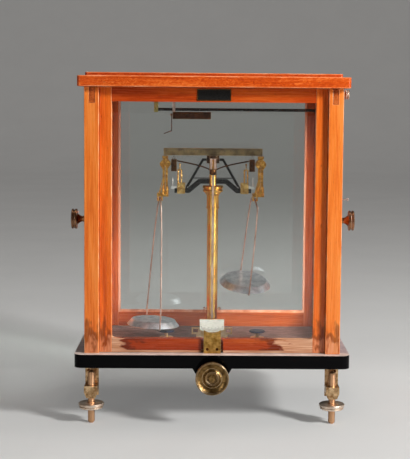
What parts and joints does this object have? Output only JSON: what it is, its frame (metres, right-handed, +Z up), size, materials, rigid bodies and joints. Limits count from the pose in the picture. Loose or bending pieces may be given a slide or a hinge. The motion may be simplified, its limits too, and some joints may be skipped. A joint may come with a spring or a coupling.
{
  "type": "precision balance",
  "caption": "Precision balance in a glazed mahogany case on a black base: trussed beam on a brass column, hung pans, arrestment knob, rider rod, lifting sash and side doors.",
  "frame": {"origin": "centre of the overall box on the bench plane", "axes": "+Z up, -Y to the front with the arrestment knob, +X to the right seen from the front"},
  "size_m": [0.4655, 0.305, 0.5755],
  "materials": {
    "base_black": "polished black slab",
    "mahogany": "french polished, worn at the foot",
    "mahogany_top": "french polished, wavy figure",
    "pane": "clear, slightly uneven",
    "bracket_brass": "worn lacquer",
    "column_brass": "lacquered, bright",
    "bright_steel": "bright",
    "agate": "polished agate",
    "ivory": "aged white, stands in for ivory",
    "black_lacquer": "satin black",
    "trim_brass": "polished",
    "aged_brass": "toned dark",
    "beam_bronze": "oxidised",
    "block_bronze": "dark oxidised",
    "copper_tone": "coppery lacquer",
    "plated": "nickel plated, cloudy"
  },
  "bodies": {
    "base": {"base_plate": "base_black", "posts": "mahogany", "side_rails": "mahogany", "rear_stiles": "mahogany", "rear_rails": "mahogany", "rear_beads": "mahogany", "rear_glass": "pane", "top_board": "mahogany_top", "top_panel": "mahogany_top", "foot_brackets": "bracket_brass", "rear_foot": "bracket_brass", "column": "column_brass", "brass_fittings": "column_brass", "steel_pins": "bright_steel", "agate_planes": "agate", "index_stand": "column_brass", "ivory_scale": "ivory", "sash_keeper": "column_brass", "post_hinges": "column_brass", "rider_rail": "black_lacquer", "rider_brackets": "trim_brass"},
    "sash": {"sash_stiles": "mahogany", "sash_rails": "mahogany", "sash_glass": "pane", "nameplate": "black_lacquer", "nameplate_rim": "trim_brass"},
    "left_door": {"left_door_stiles": "mahogany", "left_door_rails": "mahogany", "left_door_glass": "pane", "left_door_fittings": "aged_brass"},
    "right_door": {"right_door_stiles": "mahogany", "right_door_rails": "mahogany", "right_door_glass": "pane", "right_door_fittings": "aged_brass"},
    "knob": {"arrest_knob": "aged_brass", "knob_shaft": "trim_brass"},
    "arrest": {"lifting_frame": "trim_brass", "rest_pads": "black_lacquer", "arrest_bar": "black_lacquer", "arrest_struts": "black_lacquer", "beam_supports": "column_brass", "stirrup_stops": "bright_steel"},
    "beam": {"rider_bar": "beam_bronze", "beam_truss": "beam_bronze", "beam_blocks": "block_bronze", "beam_knives": "bright_steel", "pointer": "copper_tone", "pointer_bob": "block_bronze"},
    "left_hanger": {"left_stirrup": "column_brass"},
    "right_hanger": {"right_stirrup": "column_brass"},
    "left_loop": {"left_bail": "copper_tone"},
    "right_loop": {"right_bail": "copper_tone"},
    "left_dish": {"left_pan": "plated"},
    "right_dish": {"right_pan": "plated"},
    "carriage": {"rider_carriage": "trim_brass", "carriage_bar": "aged_brass", "control_rod": "aged_brass"},
    "hook": {"rider_hook": "aged_brass"},
    "left_screw": {"left_foot_screw": "bracket_brass"},
    "right_screw": {"right_foot_screw": "bracket_brass"}
  },
  "joints": [
    {"name": "sash_slide", "type": "slide", "parent": "base", "child": "sash", "axis": [0, 0, 1], "range_m": [0, 0.3]},
    {"name": "left_door_hinge", "type": "hinge", "parent": "base", "child": "left_door", "pos_m": [-0.2117, 0.1162, 0.33], "axis": [0, 0, -1], "range_deg": [0, 110]},
    {"name": "right_door_hinge", "type": "hinge", "parent": "base", "child": "right_door", "pos_m": [0.2117, 0.1162, 0.33], "axis": [0, 0, 1], "range_deg": [0, 110]},
    {"name": "knob_turn", "type": "hinge", "parent": "base", "child": "knob", "pos_m": [0, -0.1275, 0.0846], "axis": [0, -1, 0], "range_deg": [0, 90]},
    {"name": "arrest_lift", "type": "slide", "parent": "base", "child": "arrest", "axis": [0, 0, 1], "range_m": [-0.003, 0]},
    {"name": "beam_swing", "type": "hinge", "parent": "base", "child": "beam", "pos_m": [0, 0.01275, 0.431], "axis": [0, 1, 0], "range_deg": [-1.5, 1.5]},
    {"name": "left_stirrup_swing", "type": "hinge", "parent": "beam", "child": "left_hanger", "pos_m": [-0.082, 0.01275, 0.431], "axis": [0, 1, 0], "range_deg": [-3, 5]},
    {"name": "right_stirrup_swing", "type": "hinge", "parent": "beam", "child": "right_hanger", "pos_m": [0.082, 0.01275, 0.431], "axis": [0, 1, 0], "range_deg": [-6, 0.5]},
    {"name": "left_bail_swing", "type": "hinge", "parent": "left_hanger", "child": "left_loop", "pos_m": [-0.0912, 0.01275, 0.36], "axis": [0.9563, 0.2924, 0], "range_deg": [-5, 5]},
    {"name": "left_pan_lift", "type": "slide", "parent": "left_loop", "child": "left_dish", "axis": [0.05, 0.0153, 0.9986], "range_m": [0, 0.018]},
    {"name": "right_bail_swing", "type": "hinge", "parent": "right_hanger", "child": "right_loop", "pos_m": [0.0728, 0.01275, 0.36], "axis": [0.9907, 0.1357, 0], "range_deg": [-26, 4]},
    {"name": "right_pan_lift", "type": "slide", "parent": "right_loop", "child": "right_dish", "axis": [0.0944, -0.2393, 0.9663], "range_m": [0, 0.013]},
    {"name": "carriage_slide", "type": "slide", "parent": "base", "child": "carriage", "axis": [1, 0, 0], "range_m": [-0.01, 0.145]},
    {"name": "hook_swing", "type": "hinge", "parent": "carriage", "child": "hook", "pos_m": [-0.0715, 0.01275, 0.506], "axis": [1, 0, 0], "range_deg": [-35, 35]},
    {"name": "left_screw_turn", "type": "hinge", "parent": "base", "child": "left_screw", "pos_m": [-0.1985, -0.1045, 0.03], "axis": [0, 0, 1], "continuous": true},
    {"name": "right_screw_turn", "type": "hinge", "parent": "base", "child": "right_screw", "pos_m": [0.1985, -0.1045, 0.03], "axis": [0, 0, 1], "continuous": true}
  ],
  "couplings": [
    {"joint": "knob_turn", "follows": "arrest_lift", "rad_per_m": -523.59}
  ]
}
